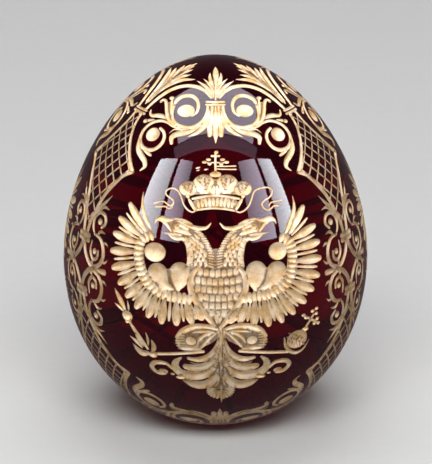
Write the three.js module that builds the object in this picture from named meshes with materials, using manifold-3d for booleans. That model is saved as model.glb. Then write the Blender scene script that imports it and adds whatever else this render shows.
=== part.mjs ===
// A ruby glass egg that stands on a small ground flat, engraved all round and gilded in the cuts.
// Millimetres, +Z up, origin at the centre of the foot, the front medallion towards -Y.
import * as THREE from "three";
import { mergeVertices } from "three/addons/utils/BufferGeometryUtils.js";
import Module from "manifold-3d";

// Driving dimensions of the glass
const GIRTH_RADIUS = 37.5;
const BLANK_HEIGHT = 93.15;
const FOOT_RADIUS = 11;
const POINTED_TOP = -0.098;
const FULL_SHOULDERS = -0.019;
const SEGMENTS = 28;
const RINGS = 14;

// Driving dimensions of the engraving
const MEDALLIONS = 3;
const CUT_SLOPE = 0.8;
const DEEPEST_CUT = 1;
const RIM_LIFT = 0.6;
const FACET_SAG = 0.12;
const SAME_POINT = 1e-4;

// The engraver's sheet: x runs round the egg in girth millimetres, y up the side from the girth.
// The sheet keeps angles, so that a circle drawn on it stays round on the glass.
const THIRD = (2 * Math.PI * GIRTH_RADIUS) / MEDALLIONS;
const SIDE_AXIS = THIRD / 2;
const FRAME_MIDDLE = 5;
const TAIL_AXIS = 1.3;
const SHEET_STEPS = 4000;

// Width of a stroke along its length, from 0 at its start to 1 at its end
const LEAF = (along) => Math.sin(Math.PI * along) ** 0.6;
const PLUME = (along) => Math.min(1, 0.35 + along);
const BAND = () => 1;

// The two kinds of cut: a stroke of the wheel's edge along a line, and a hollow ground with its face
const stroke = (width, shape, stations, ...points) => ({ width, shape, stations, points });
const hollow = (halfWidth, halfHeight, sides, centre) => ({ halfWidth, halfHeight, sides, points: [centre] });

// Copies of drawn cuts on the sheet
const moved = (cuts, place) => cuts.map((cut) => ({ ...cut, points: cut.points.map(place) }));
const shifted = (cuts, by) => moved(cuts, ([x, y]) => [x + by, y]);
const bothSides = (cuts, axis = 0) => [...cuts, ...moved(cuts, ([x, y]) => [2 * axis - x, y])];
const below = (cuts) => moved(cuts, ([x, y]) => [x, 2 * FRAME_MIDDLE - y]);
const aboveAndBelow = (cuts) => [...cuts, ...below(cuts)];

// The scrolled frame of a medallion and half of the lozenge beside it: the upper right quarter
const FRAME_QUARTER = [
  stroke(1.7, BAND, 4, [18.5, 52.6], [24.5, 53.7], [30, 50], [30.3, 43.6], [25, 40.9], [20.4, 45], [22, 50]),
  stroke(1.5, BAND, 2, [36.9, 53.4], [35.2, 45], [32, 38], [27.4, 33.4]),
  stroke(1.5, BAND, 2, [27.4, 33.2], [33, 27.4], [36.8, 19], [38.5, 13]),
  hollow(2.9, 2.7, 5, [25.3, 46.3]),
];

// The great scroll beside a crest: whole above, and its stem alone under the egg
const SCROLL_STEM = [[2.3, 63.4], [5, 56], [12, 51.8], [19, 54.5], [20.9, 62]];
const SCROLL_CURL = [[15.5, 70], [8.6, 67], [8, 60.5]];
const GREAT_SCROLL = [
  stroke(2.2, BAND, 6, ...SCROLL_STEM, ...SCROLL_CURL),
  stroke(2.4, PLUME, 2, [5.5, 54], [11, 49.8], [16.6, 48.8], [17.2, 45.5]),
  hollow(4.1, 3.7, 6, [13.4, 60.6]),
];
const LOWER_SCROLL = below([stroke(2.2, BAND, 2, ...SCROLL_STEM)]);

// Curls between an upper and a lower lozenge of the front
const SIDE_CURLS = [
  stroke(1.3, LEAF, 1, [39, 10.9], [37.8, 8], [35.4, 5.6]),
  stroke(1.3, BAND, 2, [36, 18.4], [34.6, 13.4], [31, 10], [34.4, 5.6]),
];

// Leaves and curls that grow from the scrolls of the front
const FRAME_SPRIGS = [
  stroke(2.2, PLUME, 1, [2.5, 59], [4.3, 53], [9.5, 48.2]),
  stroke(2, PLUME, 1, [20.6, 55.5], [22.4, 62.5], [22.7, 69.3]),
  stroke(2, PLUME, 1, [21.4, 54.6], [25.4, 63], [29.6, 66]),
  stroke(1.8, PLUME, 1, [30.6, 45.5], [28.6, 39.8], [25, 34.6]),
  stroke(1.8, PLUME, 1, [22.8, 55], [27, 56.6], [31.5, 58.3]),
  stroke(1.3, LEAF, 1, [36.4, 17.6], [35, 20.4], [32, 24]),
  stroke(1.2, BAND, 2, [36, 15], [34.6, 19], [31.8, 17.4], [33.6, 15.8]),
  hollow(1.3, 1.3, 5, [33.8, 8.6]),
];

// Ties that bind the scrolls, each centred on an axis of the frame
const TIES = [
  stroke(2.6, BAND, 2, [-4.8, 65.5], [4.8, 65.5]),
  stroke(2.6, BAND, 2, [SIDE_AXIS - 4.6, 55.2], [SIDE_AXIS + 4.6, 55.2]),
  stroke(1.6, BAND, 1, [SIDE_AXIS - 2.3, 11.8], [SIDE_AXIS + 2.3, 11.8]),
];

// The arch and the leaves of the crest over a medallion, and the palmette between two crests
const ARCH_LINE = [[2.3, 68.5], [9, 75.6], [17.5, 78.4], [26, 75.2], [33, 67], [36.8, 57]];
const CREST_ARCH = stroke(2.6, BAND, 4, ...ARCH_LINE);
const CREST_DROP = stroke(4, PLUME, 1, [0, 63.5], [0, 46]);
const CREST_LEAF = stroke(7, PLUME, 2, [0, 68], [0, 80], [0, 110]);
const CREST_SIDE_LEAF = stroke(2.6, PLUME, 1, [1, 68.5], [4, 78], [9, 85.5]);
const PALMETTE_LEAF = stroke(9, LEAF, 2, [SIDE_AXIS, 58], [SIDE_AXIS, 85], [SIDE_AXIS, 113]);
const PALMETTE_SIDE_LEAVES = [
  stroke(5, PLUME, 1, [38.8, 60], [37, 73], [28.5, 92]),
  stroke(4.4, PLUME, 1, [38.4, 60], [35, 71], [17.5, 86.3]),
];

// The lozenge holds a diamond lattice
const LATTICE_WIDTH = 0.9;
const LATTICE_RISE = 1.12;
const LATTICE_PITCH = 12.5;
const LOZENGE_TOP = 53;
const LOZENGE_CORNER = 33.4;
const LOZENGE_BOTTOM = 13;
const LOZENGE_REACH = 11;
const LOZENGE_HOLLOW_SIDES = 1.25;
const LATTICE_STEP = 0.25;
const SHORTEST_LATTICE_LINE = 5;

function lozengeHalfWidth(y) {
  const end = y > LOZENGE_CORNER ? LOZENGE_TOP : LOZENGE_BOTTOM;
  const share = Math.max(0, (end - y) / (end - LOZENGE_CORNER));
  return LOZENGE_REACH * share ** LOZENGE_HOLLOW_SIDES;
}

function latticeLines() {
  const lines = [];
  for (let start = LOZENGE_BOTTOM - 2 * LATTICE_PITCH; start < LOZENGE_TOP; start += LATTICE_PITCH) {
    const inside = [];
    for (let x = -LOZENGE_REACH; x <= LOZENGE_REACH; x += LATTICE_STEP) {
      const y = start + LATTICE_RISE * (x + LOZENGE_REACH);
      if (Math.abs(x) < lozengeHalfWidth(y)) inside.push([x + SIDE_AXIS, y]);
    }
    if (inside.length * LATTICE_STEP < SHORTEST_LATTICE_LINE) continue;
    lines.push(stroke(LATTICE_WIDTH, BAND, 2, inside[0], inside.at(-1)));
  }
  return lines;
}

// The two-headed eagle of a medallion: the wing's feathers fan from a root line to a tip line
const FEATHERS = 11;
const FEATHER_WIDTH = 2.1;
const WING_ROOTS = [[20.2, 17], [21, 10.4], [17.6, 4], [11.4, 1.4], [5.4, 0]];
const WING_TIPS = [[25.6, 24], [28.3, 10], [22.8, -0.4], [13, -5], [3.6, -3.3]];
const EAGLE_HALF = [
  stroke(4.6, PLUME, 2, [11, 4.3], [14.2, 6.2], [16.4, 10.6]),
  stroke(4.4, PLUME, 1, [9.2, 3.8], [9.8, 11.4]),
  stroke(2.4, LEAF, 1, [2.4, 10.4], [2.6, 14.5], [6.6, 19]),
  stroke(2.4, LEAF, 1, [5.6, 10.6], [5.4, 14], [8.6, 17.4]),
  stroke(2.6, LEAF, 1, [6.8, 19.2], [9.5, 20.2], [12.4, 20.2]),
  stroke(1.6, LEAF, 2, [11, 21], [14.6, 21.6], [16.2, 19.9]),
  hollow(2.5, 2.2, 6, [15.5, 13.2]),
];
const EAGLE_LOCKS = [
  stroke(1.6, LEAF, 2, [5.5, 10], [7.4, 5], [5, 0.5], [1.2, -4.8]),
  stroke(1.2, LEAF, 1, [17.6, 17.8], [19.4, 22], [22.4, 26.8]),
  stroke(1.5, LEAF, 2, [11, 21.8], [5, 20.2], [1.1, 21.5]),
  stroke(0.9, LEAF, 1, [7.8, 17.3], [11, 17.4], [13.9, 18.1]),
];
const SCALE_PITCH = 2.9;
const SCALE_HEIGHT = 3.2;
const SCALE_WIDTH = 2.1;
const SCALE_ROWS = [3, 4, 3, 2];
const SCALE_TOP = 9.9;

function wingFeathers() {
  const roots = sheetCurve(WING_ROOTS);
  const tips = sheetCurve(WING_TIPS);
  const feathers = [];
  for (let i = 0; i < FEATHERS; i++) {
    const root = roots.getPoint(i / (FEATHERS - 1));
    const tip = tips.getPoint(i / (FEATHERS - 1));
    feathers.push(stroke(FEATHER_WIDTH, PLUME, 1, [root.x, root.y], [tip.x, tip.y]));
  }
  return feathers;
}

function breastScales() {
  const scales = [];
  SCALE_ROWS.forEach((count, row) => {
    const top = SCALE_TOP - row * SCALE_HEIGHT;
    for (let i = 0; i < count; i++) {
      const x = (i - (count - 1) / 2) * SCALE_PITCH;
      scales.push(stroke(SCALE_WIDTH, PLUME, 1, [x, top], [x, top - SCALE_HEIGHT]));
    }
  });
  return scales;
}

// The crown over both heads
const CROWN_HALF = [
  stroke(1.1, LEAF, 1, [5.4, 24.6], [6.5, 26.2], [7.7, 28]),
  stroke(1.5, LEAF, 1, [1.2, 26], [1.2, 28.2]),
  stroke(1.5, LEAF, 1, [3.6, 25.8], [3.8, 28]),
  hollow(2.7, 2.9, 6, [3.1, 31.9]),
  hollow(2, 2.1, 5, [7.8, 30.5]),
];
const CROWN_MIDDLE = [
  stroke(1, BAND, 1, [-6, 24.3], [0, 25], [6, 24.3]),
  stroke(1, BAND, 1, [-7.6, 27.8], [0, 28.8], [7.6, 27.8]),
  stroke(1, BAND, 1, [-4.1, 39], [4.1, 39]),
  stroke(1.1, BAND, 1, [0, 36.4], [0, 43]),
  hollow(1.6, 0.9, 5, [0, 35.4]),
];

// Legs, bows and the leafy tail, whose axis stands a little right of the medallion's
const TAIL_HALF = [
  stroke(1.8, LEAF, 2, [1.5, -5.4], [6.3, -4.2], [10.7, -5.4], [12.7, -8.6]),
  stroke(2.2, PLUME, 2, [2, -6.5], [3.3, -10.5], [5.9, -13.4], [10.7, -14.4]),
  stroke(2.2, PLUME, 2, [2.2, -17.5], [4.3, -22], [7.3, -24], [10.7, -22]),
  stroke(2.3, PLUME, 3, [2.5, -13.5], [5.3, -18], [10.3, -19.6], [13.7, -17.2], [11.5, -14.2]),
  stroke(1.1, BAND, 3, [14.7, -17.6], [17.3, -16], [19.9, -17.8], [17.7, -20], [16.1, -18.4]),
  stroke(1.6, PLUME, 1, [3.3, -7], [6.3, -10.6], [11.9, -10.6]),
  stroke(1, BAND, 1, [5.7, -11.4], [17.7, -13.4]),
  stroke(2, PLUME, 1, [1.5, -20], [3.3, -25.2], [4.9, -28]),
  hollow(1.4, 1.4, 5, [8.7, -8.2]),
];
const TAIL_SPINE = stroke(1.8, LEAF, 1, [1.3, -22], [1.5, -27], [1.9, -31.6]);

// A sceptre in the left claw and an orb in the right
const REGALIA = [
  stroke(1.8, LEAF, 1, [-22.8, -3], [-25.8, 2]),
  stroke(1.2, BAND, 1, [-17, -13], [-19.6, -9.4], [-21.8, -5.6]),
  stroke(1.9, LEAF, 2, [-17.5, -13.2], [-19.4, -13.9], [-21.6, -11.8]),
  stroke(1.6, LEAF, 1, [-16.6, -13], [-15.4, -11.4], [-16.2, -9.4]),
  hollow(1.4, 1.4, 6, [-22.4, -4.2]),
  stroke(1.3, LEAF, 3, [17.4, -9], [18.6, -12.6], [21.7, -14.7], [24.8, -12.4]),
  stroke(1.1, BAND, 1, [22.8, -8.2], [26.2, -3.4]),
  stroke(1.1, BAND, 1, [22.3, -4.4], [27.2, -7.2]),
  hollow(2.7, 2.7, 7, [21.3, -10.5]),
];

function medallion() {
  const frame = aboveAndBelow([...bothSides(FRAME_QUARTER), ...TIES, CREST_DROP]);
  const scrolls = bothSides([...GREAT_SCROLL, ...LOWER_SCROLL]);
  const crestSides = bothSides([CREST_ARCH, CREST_SIDE_LEAF, ...PALMETTE_SIDE_LEAVES]);
  const eagle = bothSides([...wingFeathers(), ...EAGLE_HALF]);
  return [...frame, ...scrolls, CREST_LEAF, PALMETTE_LEAF, ...crestSides, ...eagle, TAIL_SPINE];
}

// The front is finished further than the other two sides
function frontDetails() {
  const eagle = [...bothSides([...EAGLE_LOCKS, ...CROWN_HALF]), ...breastScales(), ...CROWN_MIDDLE];
  const tail = bothSides(TAIL_HALF, TAIL_AXIS);
  const lozenges = bothSides(aboveAndBelow(bothSides([...latticeLines(), ...SIDE_CURLS], SIDE_AXIS)));
  return [...bothSides(FRAME_SPRIGS), ...lozenges, ...eagle, ...tail, ...REGALIA];
}

// The side of the glass blank, by the angle from the top of the egg
function eggWidth(turn) {
  const swell = POINTED_TOP * Math.cos(turn) + FULL_SHOULDERS * Math.cos(2 * turn);
  return Math.sin(turn) * (1 + swell);
}

const TURNS = Array.from({ length: SHEET_STEPS }, (_, i) => (Math.PI * (i + 0.5)) / SHEET_STEPS);
const GIRTH_WIDTH = Math.max(...TURNS.map(eggWidth));
const eggRadius = (turn) => (GIRTH_RADIUS * eggWidth(turn)) / GIRTH_WIDTH;
const eggLevel = (turn) => (BLANK_HEIGHT / 2) * Math.cos(turn);
const FOOT_TURN = TURNS.findLast((turn) => eggRadius(turn) >= FOOT_RADIUS);
const FOOT_LEVEL = eggLevel(FOOT_TURN);

// Rows of the sheet from the top down, each with its height y on the sheet
function sheetRows() {
  const rows = TURNS.map((turn) => ({ radius: eggRadius(turn), level: eggLevel(turn) - FOOT_LEVEL, y: 0 }));
  for (let i = 1; i < rows.length; i++) {
    const upper = rows[i - 1];
    const lower = rows[i];
    const slant = Math.hypot(lower.radius - upper.radius, lower.level - upper.level);
    lower.y = upper.y - (2 * GIRTH_RADIUS * slant) / (lower.radius + upper.radius);
  }
  const girthY = rows.find((row) => row.radius === GIRTH_RADIUS).y;
  for (const row of rows) row.y -= girthY;
  return rows;
}

const ROWS = sheetRows();

// Radius, height and outward direction of the glass at a height of the sheet
function sideAt(y) {
  const next = Math.max(1, ROWS.findIndex((row) => row.y <= y));
  const upper = ROWS[next - 1];
  const lower = ROWS[next];
  const share = (upper.y - y) / (upper.y - lower.y);
  const along = new THREE.Vector2(lower.radius - upper.radius, lower.level - upper.level).normalize();
  return {
    radius: THREE.MathUtils.lerp(upper.radius, lower.radius, share),
    level: THREE.MathUtils.lerp(upper.level, lower.level, share),
    outward: -along.y,
    upward: along.x,
  };
}

function onEgg(x, y, lift) {
  const side = sideAt(y);
  const angle = x / GIRTH_RADIUS;
  const radius = side.radius + side.outward * lift;
  const level = side.level + side.upward * lift;
  return new THREE.Vector3(radius * Math.sin(angle), -radius * Math.cos(angle), level);
}

function sheetCurve(points) {
  const places = points.map(([x, y]) => new THREE.Vector3(x, y, 0));
  return new THREE.CatmullRomCurve3(places, false, "centripetal");
}

function cutDepth(halfWidth, y) {
  const scale = sideAt(y).radius / GIRTH_RADIUS;
  return Math.min(DEEPEST_CUT, CUT_SLOPE * halfWidth * scale) + FACET_SAG;
}

// A stroke's cutter: a V-shaped keel under a roof that stands clear of the glass
function strokeCorners({ width, shape, stations, points }) {
  const line = sheetCurve(points);
  const run = line.getLength() / (2 * stations);
  const first = 0.5 / stations;
  const rows = [strokeTip(line, 0, -run, (width * shape(first)) / 2)];
  for (let i = 0; i < stations; i++) {
    const along = (i + 0.5) / stations;
    rows.push(strokeRow(line, along, (width * shape(along)) / 2));
  }
  rows.push(strokeTip(line, 1, run, (width * shape(1 - first)) / 2));
  return rows.slice(1).flatMap((row, i) => joinedRows(rows[i], row));
}

// The keel meets the glass at the end of the line and goes on rising to the roof
function strokeTip(line, along, run, halfWidth) {
  const { x, y } = line.getPointAt(along);
  const tangent = line.getTangentAt(along);
  const beyond = (run * RIM_LIFT) / cutDepth(halfWidth, y);
  return [onEgg(x + tangent.x * beyond, y + tangent.y * beyond, RIM_LIFT)];
}

function strokeRow(line, along, halfWidth) {
  const { x, y } = line.getPointAt(along);
  const tangent = line.getTangentAt(along);
  const depth = cutDepth(halfWidth, y);
  const reach = halfWidth * (1 + RIM_LIFT / depth);
  const left = onEgg(x - tangent.y * reach, y + tangent.x * reach, RIM_LIFT);
  const right = onEgg(x + tangent.y * reach, y - tangent.x * reach, RIM_LIFT);
  return [left, onEgg(x, y, -depth), right];
}

function joinedRows(before, after) {
  if (before.length === 1) {
    const [left, keel, right] = after;
    return [before[0], right, left, before[0], left, keel, before[0], keel, right];
  }
  const [left, keel, right] = before;
  if (after.length === 1) return [after[0], left, right, after[0], keel, left, after[0], right, keel];
  const [nextLeft, nextKeel, nextRight] = after;
  return [
    right, nextRight, nextLeft, right, nextLeft, left,
    left, nextLeft, nextKeel, left, nextKeel, keel,
    keel, nextKeel, nextRight, keel, nextRight, right,
  ];
}

// A hollow's cutter: a shallow cone under a roof that stands clear of the glass
function hollowCorners({ halfWidth, halfHeight, sides, points }) {
  const [[x, y]] = points;
  const depth = cutDepth(Math.min(halfWidth, halfHeight), y);
  const grow = 1 + RIM_LIFT / depth;
  const floor = onEgg(x, y, -depth);
  const roof = onEgg(x, y, RIM_LIFT);
  const rim = (i) => {
    const angle = (2 * Math.PI * (i + 0.5)) / sides;
    const across = halfWidth * grow * Math.cos(angle);
    const up = halfHeight * grow * Math.sin(angle);
    return onEgg(x + across, y + up, RIM_LIFT);
  };
  const wedge = (_, i) => [roof, rim(i), rim(i + 1), floor, rim(i + 1), rim(i)];
  return Array.from({ length: sides }, wedge).flat();
}

function blankGeometry() {
  const profile = [new THREE.Vector2(0, 0)];
  for (let i = RINGS; i > 0; i--) {
    const turn = FOOT_TURN * (i / RINGS);
    profile.push(new THREE.Vector2(eggRadius(turn), eggLevel(turn) - FOOT_LEVEL));
  }
  profile.push(new THREE.Vector2(0, BLANK_HEIGHT / 2 - FOOT_LEVEL));
  return new THREE.LatheGeometry(profile, SEGMENTS).rotateX(Math.PI / 2);
}

// Solids for cutting
const wasm = await Module();
wasm.setup();

function solidOf(geometry) {
  geometry.deleteAttribute("normal");
  geometry.deleteAttribute("uv");
  const merged = mergeVertices(geometry, SAME_POINT);
  const vertProperties = merged.attributes.position.array;
  const triVerts = new Uint32Array(merged.index.array);
  return new wasm.Manifold(new wasm.Mesh({ numProp: 3, vertProperties, triVerts }));
}

function cutterOf(cut) {
  const corners = cut.shape ? strokeCorners(cut) : hollowCorners(cut);
  return solidOf(new THREE.BufferGeometry().setFromPoints(corners));
}

function geometryOf(solid) {
  const mesh = solid.getMesh();
  const geometry = new THREE.BufferGeometry();
  geometry.setAttribute("position", new THREE.BufferAttribute(mesh.vertProperties, 3));
  geometry.setIndex(new THREE.BufferAttribute(mesh.triVerts, 1));
  geometry.computeVertexNormals();
  return geometry;
}

function engravedEgg() {
  let glass = solidOf(blankGeometry());
  const cuts = frontDetails();
  for (let third = 0; third < MEDALLIONS; third++) cuts.push(...shifted(medallion(), third * THIRD));
  for (const cut of cuts) glass = glass.subtract(cutterOf(cut));
  return geometryOf(glass);
}

const rubyGlass = new THREE.MeshStandardMaterial({ color: 0x4a0714, roughness: 0.05, metalness: 0 });
const egg = new THREE.Mesh(engravedEgg(), rubyGlass);
egg.name = "egg";

const part = new THREE.Group();
part.add(egg);
export default part;
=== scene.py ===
import math
from collections import namedtuple

import bpy
import numpy as np
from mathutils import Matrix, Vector
from mathutils.geometry import delaunay_2d_cdt


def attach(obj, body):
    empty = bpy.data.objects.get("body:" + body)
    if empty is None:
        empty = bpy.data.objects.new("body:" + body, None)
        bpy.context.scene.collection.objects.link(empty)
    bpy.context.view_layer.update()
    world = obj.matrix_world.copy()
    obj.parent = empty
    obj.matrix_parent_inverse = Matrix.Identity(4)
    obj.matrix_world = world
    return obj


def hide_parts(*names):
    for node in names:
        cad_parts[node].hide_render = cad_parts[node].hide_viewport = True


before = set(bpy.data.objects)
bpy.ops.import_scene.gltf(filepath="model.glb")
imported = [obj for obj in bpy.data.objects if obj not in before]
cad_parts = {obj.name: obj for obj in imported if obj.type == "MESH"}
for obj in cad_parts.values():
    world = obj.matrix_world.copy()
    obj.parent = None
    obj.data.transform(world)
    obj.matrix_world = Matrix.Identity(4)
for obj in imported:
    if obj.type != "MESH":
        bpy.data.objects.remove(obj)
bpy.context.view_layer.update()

# Sizes of the solid, ground glass blank, in millimetres
MM = 0.001
GIRTH_RADIUS = 37.5
BLANK_HEIGHT = 93.15
FOOT_RADIUS = 11
POINTED_TOP = -0.098
FULL_SHOULDERS = -0.019
MEDALLIONS = 3

# The cutter's sheet: the egg's side laid flat, x round the girth and y up. It keeps angles, not sizes
THIRD = 2 * math.pi * GIRTH_RADIUS / MEDALLIONS
SIDE_AXIS = THIRD / 2
FRAME_MIDDLE = 5
LEAN = 0.035
SHEET_TOP = 120
CAP_ROWS = 5
RIM_STEPS = 30
TABLE_STEPS = 20000

# The wheel's cuts: a cut's depth goes with its half width, and a lowered ground is cut far shallower
STATION = 0.55
FINE_STATION = 0.05
THINNEST = 0.09
STEEPNESS = 0.64
GROUND = 0.08
DEEPEST = 0.95
OUTSIDE = -9.0

# How finely the sheet is surveyed and meshed
GRID = 0.15
MARGIN = 1.6
HAIR = 0.026
LONGEST_CHORD = 1.1
GLASS_SPACING = 2.3
GLASS_CLEARANCE = 0.8
SEAM_SPACING = 0.8
SEAM_CLEARANCE = 0.3
RIM_CLEARANCE = 0.13
LEAST_LEAD = 0.03
FOOT_RING = 0.6

# How much painted shade browns the gold: at the cuts' rims, where cuts meet, in lowered grounds, over the
# dimly lit side columns, towards the bottom and in scored lines; and which cuts show the wheel's lines
RIM_SHADE, RIM_BAND = 0.65, 0.2
CREASE_SHADE, CREASE_START, CREASE_BAND, CREASE_DEPTH = 0.96, 1.6, 0.05, 0.03
SCORED_SHADE, SCORED_BAND = 0.9, 0.16
GROUND_SHADE = 0.8
COLUMN_SHADE, LOW_SHADE = 0.6, 0.4
COLUMN_SIDE, COLUMN_END, LOW_START = (26, 6), (-54, 12), (4, 8)
NARROW_CUT, BROAD_CUT = 0.95, 1.35

# The egg's outline, by the angle from its top, and the sheet's levels on it

def egg_width(turn):
    swell = POINTED_TOP * np.cos(turn) + FULL_SHOULDERS * np.cos(2 * turn)
    return np.sin(turn) * (1 + swell)


TURNS = np.linspace(1e-3, math.pi - 1e-3, TABLE_STEPS)
GIRTH_WIDTH = egg_width(TURNS).max()
RADII = GIRTH_RADIUS * egg_width(TURNS) / GIRTH_WIDTH
HEIGHTS = BLANK_HEIGHT / 2 * np.cos(TURNS)
RISE = np.hypot(np.diff(RADII), np.diff(HEIGHTS)) * GIRTH_RADIUS / ((RADII[1:] + RADII[:-1]) / 2)
LEVELS = -np.concatenate([[0], np.cumsum(RISE)])
LEVELS -= LEVELS[RADII.argmax()]
FOOT_TURN = TURNS[np.nonzero(RADII >= FOOT_RADIUS)[0][-1]]
FOOT_HEIGHT = BLANK_HEIGHT / 2 * math.cos(FOOT_TURN)
FOOT_SHEET = float(np.interp(FOOT_TURN, TURNS, LEVELS))


def fineness(y):
    turn = np.interp(-np.asarray(y), -LEVELS, TURNS)
    return GIRTH_RADIUS / np.interp(turn, TURNS, RADII)


# How wide a cut is along its length, as shares of its full width
LEAF = (0.3, 0.8, 1, 0.88, 0.55, 0.06)
PLUME = (0.3, 0.55, 0.8, 0.97, 1, 0.72)
FEATHER = (0.5, 0.75, 0.92, 1, 1, 0.94, 0.62)
QUILL = (0.42, 0.62, 0.84, 0.97, 1, 0.9, 0.6)
BAND = (0.6, 0.92, 1, 1, 0.92, 0.6)
CURL = (0.5, 0.8, 1, 1, 1, 0.95, 0.8)
WIRE = (1, 1)
TEAR = (0.16, 0.4, 0.7, 0.93, 1)
SPIKE = (1, 0.8, 0.5, 0.06)

Cut = namedtuple("Cut", "line half tall deep over")


# Drawing the cuts

def drawn_line(points, spacing=STATION):
    points = np.array(points, float)
    gaps = np.hypot(*np.diff(points, axis=0).T)
    knots = np.concatenate([[0], np.cumsum(gaps)])
    slopes = np.gradient(points, knots, axis=0)
    stations = np.linspace(0, knots[-1], max(2, math.ceil(knots[-1] / spacing) + 1))
    piece = np.clip(np.searchsorted(knots, stations, side="right") - 1, 0, len(gaps) - 1)
    share = ((stations - knots[piece]) / gaps[piece])[:, None]
    gap = gaps[piece][:, None]
    start = (1 + 2 * share) * (1 - share) ** 2 * points[piece]
    leave = share * (1 - share) ** 2 * gap * slopes[piece]
    end = share ** 2 * (3 - 2 * share) * points[piece + 1]
    arrive = share ** 2 * (share - 1) * gap * slopes[piece + 1]
    return start + leave + end + arrive


def cut(width, shape, *points, deep=1, over=False):
    line = drawn_line(points)
    along = np.linspace(0, 1, len(line))
    shares = np.interp(along, np.linspace(0, 1, len(shape)), shape)
    return Cut(line, np.maximum(width / 2 * shares, THINNEST), 1, deep, over)


def ball(half_width, half_height, centre, deep=1):
    tall = half_height / half_width
    return Cut(np.array([centre], float), np.array([half_width], float), tall, deep, False)


def scored(width, *points):
    return cut(width, WIRE, *points, over=True)


def ground(width, shape, *points):
    return cut(width, shape, *points, deep=GROUND)


def moved(cuts, change):
    return [one._replace(line=change(one.line.copy())) for one in cuts]


def mirrored(cuts, axis=0):
    return moved(cuts, lambda line: line * (-1, 1) + (2 * axis, 0))


def both_sides(cuts, axis=0):
    return cuts + mirrored(cuts, axis)


def below(cuts):
    return moved(cuts, lambda line: line * (1, -1) + (0, 2 * FRAME_MIDDLE))


def upright(cuts):
    def straighten(line):
        line[:, 0] -= LEAN * np.maximum(FRAME_MIDDLE - line[:, 1], 0)
        return line
    return moved(cuts, straighten)


def between(start, end, share):
    return tuple(np.array(start) + share * (np.array(end) - start))


def spot_at(line, share):
    return line[round(share * (len(line) - 1))]


def sideways(line):
    ahead = np.gradient(line, axis=0)
    return ahead[:, ::-1] * (-1, 1) / np.hypot(*ahead.T)[:, None]


# One quarter of the scroll frame, right of the crest and above the frame's middle

def great_scroll():
    stem = [(3.9, 64), (3.9, 61), (4.5, 58), (5.8, 55.4), (7.8, 53.4), (10.4, 52.3), (13.2, 52.2),
            (16, 52.8), (18.4, 54.4), (20.2, 57), (21.2, 60), (21.6, 63.2)]
    coil = [(21.7, 62.6), (21.6, 65.6), (20, 68.2), (17.2, 69.7), (14, 69.8), (11.2, 68.4), (9.3, 65.8),
            (8.6, 62.6), (9, 59.6), (10.8, 57.7)]
    return [
        ground(3, BAND, (19.4, 54.6), (22.4, 58.4), (25.2, 62.8)),
        cut(1.45, WIRE, *stem),
        cut(2.8, (0.5, 0.9, 1, 1, 0.95, 0.85, 0.75, 0.65, 0.5, 0.25), *coil),
        ball(4.4, 3.5, (14.3, 60.3)),
        cut(2.5, LEAF, (3, 60.5), (3.5, 56.4), (5, 52.6), (7.4, 50), (10.6, 48.1)),
        cut(2.5, (0.2, 0.6, 0.9, 1, 0.9, 0.5), (6, 53.6), (9.4, 50.9), (12.6, 49.5), (15.4, 48.6),
            (16.8, 47.2), (16.2, 44.9)),
        cut(0.9, LEAF, (10, 51.4), (14, 50.9), (17, 50.4), (18.4, 48.6)),
        cut(1.5, PLUME, (19, 54.4), (21.6, 58.6), (23.2, 62.4), (24.8, 65.8)),
        ball(1.5, 1.2, (25.4, 66.2)),
        cut(1.9, CURL, (17, 52.4), (20.8, 54.6), (24, 58.6), (26.6, 62.3), (28.6, 63.9), (30, 63.8),
            (30.7, 62.8)),
        ball(0.9, 0.8, (30.4, 62.6)),
    ]


def lesser_scroll():
    coil = [(14.6, 51.3), (17.6, 51.7), (20.6, 53), (24, 53.3), (27, 52.2), (29.3, 50), (30.3, 47),
            (29.7, 44), (27.8, 41.9), (25, 41), (22.2, 41.6), (20.3, 43.6), (19.7, 46.2), (20.8, 48.7),
            (23, 50)]
    return [
        cut(1.5, CURL, *coil),
        ball(3, 2.8, (25.1, 47)),
        cut(2.3, (0.3, 0.9, 1, 0.8, 0.6, 0.3), (22.2, 54.6), (24.8, 55.4), (27.6, 55.2), (30.2, 54.5),
            (32, 55.3), (32.8, 56.8)),
        cut(1.5, PLUME, (27.8, 53), (30, 52.2), (31.6, 51.5)),
        ball(1.1, 0.95, (32, 51.3)),
        cut(2.1, (0.5, 0.8, 1, 0.95, 0.75, 0.2), (30.1, 44), (28.6, 40.6), (26.2, 38.6), (24.1, 37),
            (23.4, 35.5), (24.7, 33.9)),
        cut(1.2, PLUME, (28, 41.6), (25.2, 40.4), (22.6, 39.4)),
    ]


LOZENGE_UPPER = [(2.4, 53.6), (2.8, 49), (4.3, 44.6), (6.5, 40.4), (9.1, 36.4), (12.1, 32.9)]
LOZENGE_LOWER = [(12.1, 32.9), (9.3, 31.3), (6.6, 27.8), (4.25, 24), (2.7, 20), (1.35, 15.8), (0.8, 12.8)]
VESICA = [(0.2, 10.8), (1.5, 8), (3.7, 5.8), (5.2, 5)]


def lozenge_quarter():
    edges = (LOZENGE_UPPER, LOZENGE_LOWER, VESICA)
    return [cut(1.3, WIRE, *[(SIDE_AXIS - across, y) for across, y in edge]) for edge in edges]


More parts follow.
